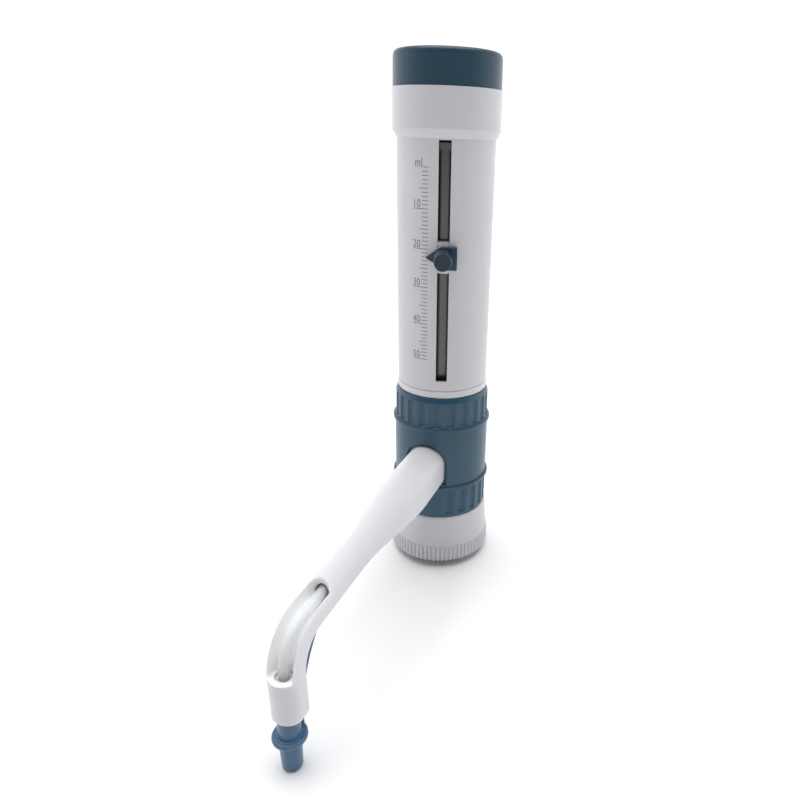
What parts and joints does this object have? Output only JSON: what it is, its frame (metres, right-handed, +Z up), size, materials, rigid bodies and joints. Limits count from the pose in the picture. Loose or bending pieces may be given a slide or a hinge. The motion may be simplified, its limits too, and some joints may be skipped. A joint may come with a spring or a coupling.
{
  "type": "bottle-top dispenser",
  "caption": "Bottle-top liquid dispenser: screw adapter, swivelling valve block, sliding graduated sleeve with a volume stop, and a side arm with a capped nozzle.",
  "frame": {"origin": "centre of the bottle thread's mouth, in the plane of the adapter's lower rim", "axes": "+Z up along the thread, block and sleeve axis; -Y towards the sleeve's slot and clamp knob; the arm leaves 18.7 degrees to the left of -Y, seen from above towards -X"},
  "size_m": [0.084, 0.1822, 0.2549],
  "materials": {
    "white_plastic": "satin moulded",
    "slate_plastic": "satin moulded, slate blue",
    "clear_plastic": "clear tube",
    "borosilicate_glass": "clear, polished",
    "rubber": "matt",
    "steel": "plain",
    "white_fluoropolymer": "waxy, machined",
    "smoked_plastic": "smoked, see-through at its edges",
    "blue_cap": "soft translucent blue",
    "ceramic_ball": "polished ceramic"
  },
  "bodies": {
    "bottle_fitting": {"bottle_adapter": "white_plastic", "bottle_gasket": "rubber", "retaining_clip": "steel"},
    "valve_block": {"swivel_collar": "slate_plastic", "valve_core": "white_fluoropolymer", "neck_o_ring": "rubber", "block_shell": "slate_plastic", "inlet_insert": "white_fluoropolymer", "inlet_ball_stop": "white_fluoropolymer", "cylinder_gasket": "rubber", "measuring_cylinder": "borosilicate_glass", "cylinder_guard": "smoked_plastic", "lift_stop_ring": "smoked_plastic", "ring_nut": "slate_plastic", "seat_ring": "white_plastic", "tube_nut": "white_fluoropolymer", "discharge_tube": "clear_plastic", "arm_housing": "white_plastic", "nozzle": "white_fluoropolymer", "outlet_seat": "white_fluoropolymer", "outlet_spring": "steel", "cap_strap": "blue_cap"},
    "inlet_ball": {"inlet_ball": "ceramic_ball"},
    "outlet_ball": {"outlet_ball": "ceramic_ball"},
    "nozzle_cap": {"nozzle_cap": "blue_cap"},
    "plunger": {"outer_sleeve": "white_plastic", "sleeve_head": "white_plastic", "top_cap": "slate_plastic", "piston_rod": "white_fluoropolymer", "rod_nut": "steel", "piston": "white_fluoropolymer", "piston_seal": "white_fluoropolymer"},
    "volume_pointer": {"pointer_plate": "slate_plastic", "stop_carrier": "white_plastic"},
    "clamp_knob": {"clamp_knob": "slate_plastic", "clamp_screw": "steel"}
  },
  "joints": [
    {"name": "block_swivel", "type": "hinge", "parent": "bottle_fitting", "child": "valve_block", "pos_m": [0, 0, 0.03], "axis": [0, 0, 1], "continuous": true},
    {"name": "plunger_lift", "type": "slide", "parent": "valve_block", "child": "plunger", "axis": [0, 0, 1], "range_m": [0, 0.039]},
    {"name": "volume_setting", "type": "slide", "parent": "plunger", "child": "volume_pointer", "axis": [0, 0, -1], "range_m": [-0.039, 0.0496]},
    {"name": "knob_turn", "type": "hinge", "parent": "volume_pointer", "child": "clamp_knob", "pos_m": [0, -0.0301, 0.16435], "axis": [0, -1, 0], "range_deg": [0, 360]},
    {"name": "inlet_ball_lift", "type": "slide", "parent": "valve_block", "child": "inlet_ball", "axis": [0, 0, 1], "range_m": [0, 0.0012]},
    {"name": "outlet_ball_drop", "type": "slide", "parent": "valve_block", "child": "outlet_ball", "axis": [0, 0, -1], "range_m": [0, 0.0008], "stiffness_N_per_m": 30, "springref_m": -0.002, "deforming": ["outlet_spring"]},
    {"name": "cap_pull", "type": "slide", "parent": "valve_block", "child": "nozzle_cap", "axis": [0, 0, -1], "range_m": [0, 0.012], "deforming": ["cap_strap"]}
  ]
}
